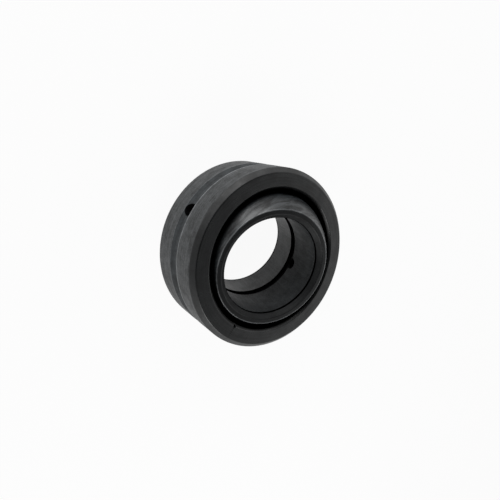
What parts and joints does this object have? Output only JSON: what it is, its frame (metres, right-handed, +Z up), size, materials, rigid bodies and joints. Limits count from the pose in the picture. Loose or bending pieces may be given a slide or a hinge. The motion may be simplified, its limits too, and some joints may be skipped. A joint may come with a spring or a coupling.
{
  "type": "spherical plain bearing",
  "caption": "Open black steel spherical plain bearing: an inner ring with a ball-shaped outside tilts in a split outer ring with an oil groove and oil holes.",
  "frame": {"origin": "centre of the ball, on the bore axis at mid-width of the inner ring", "axes": "+Z up along the bore as it stands on its end; at rest the outer ring leans 10 degrees about Y, towards -X"},
  "size_m": [0.023, 0.022, 0.0124],
  "materials": {
    "outer_ring": "black phosphated bearing steel, matte, turned",
    "inner_ring": "black phosphated bearing steel, satin, ground"
  },
  "bodies": {
    "inner": {"inner_ring": "inner_ring"},
    "outer": {"outer_ring": "outer_ring"}
  },
  "joints": [
    {"name": "tilt", "type": "hinge", "parent": "inner", "child": "outer", "pos_m": [0, 0, 0], "axis": [0, 1, 0], "range_deg": [0, 20]}
  ]
}
